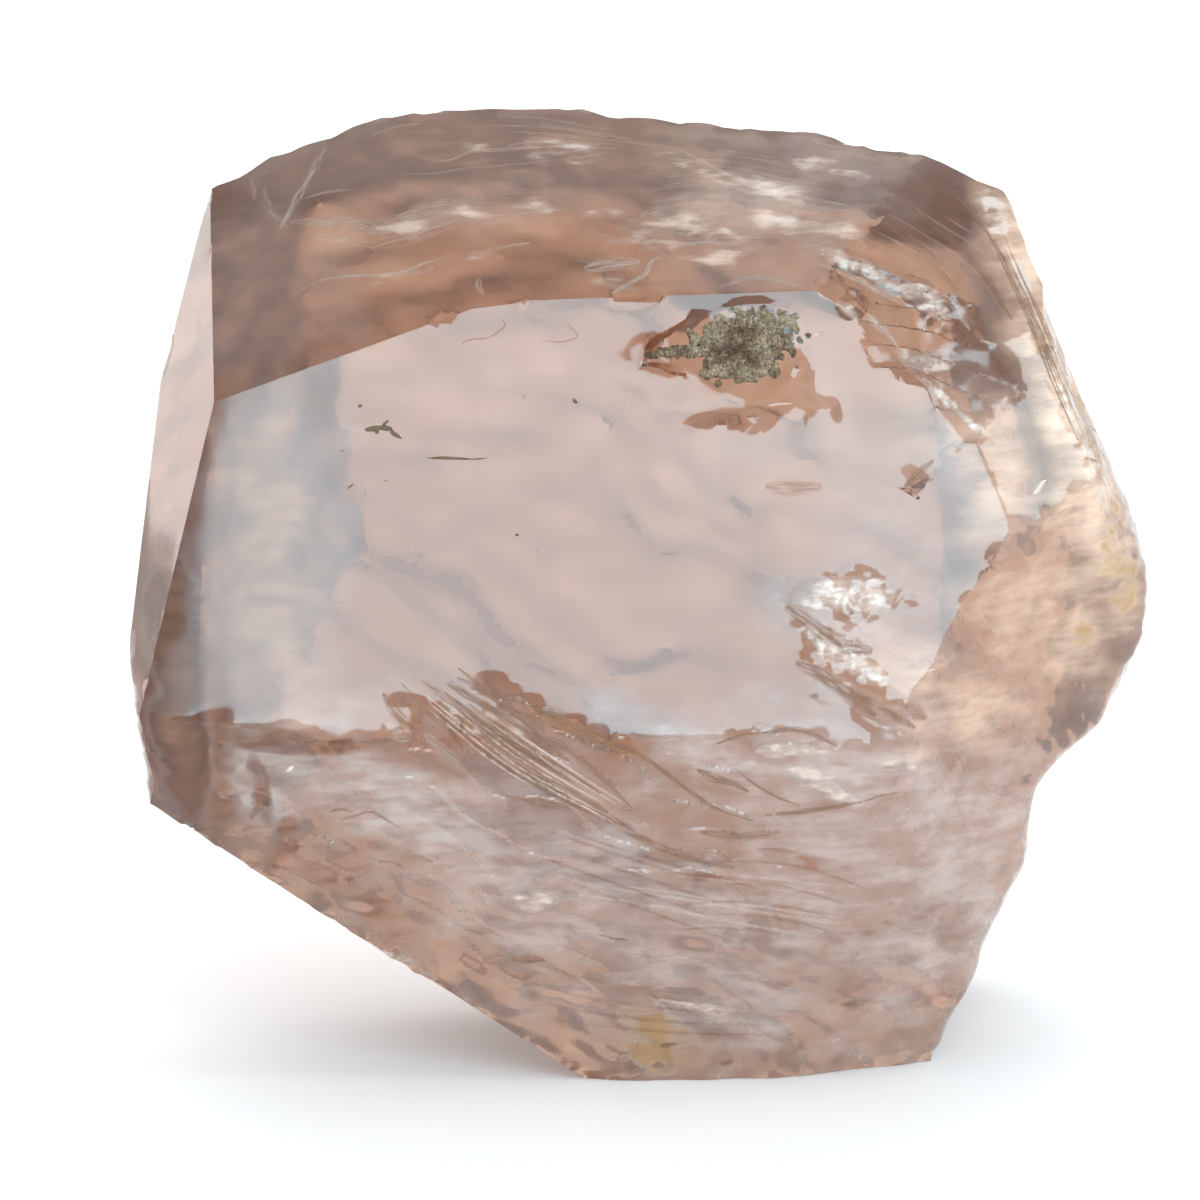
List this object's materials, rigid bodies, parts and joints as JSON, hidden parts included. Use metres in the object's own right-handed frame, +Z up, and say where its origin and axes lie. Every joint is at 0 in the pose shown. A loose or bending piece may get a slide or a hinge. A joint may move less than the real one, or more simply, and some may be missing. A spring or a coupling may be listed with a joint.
{
  "type": "rough topaz crystal",
  "caption": "Clear pale brown topaz crystal, rough, with flat growth faces above, broken faces below and a small crust of rock grains, standing on a flat foot.",
  "frame": {"origin": "middle of the crystal's outline seen from above, at the floor that its foot stands on", "axes": "+Z up, -Y towards the large flat front face, +X to the right of someone facing it"},
  "size_m": [0.0382, 0.026, 0.0359],
  "materials": {
    "topaz": "clear pale sherry brown, smooth growth faces, frosted broken faces",
    "rock_grains": "dull olive brown and grey grains"
  },
  "bodies": {
    "root": {"crystal": "topaz", "matrix_crust": "rock_grains"}
  },
  "joints": []
}
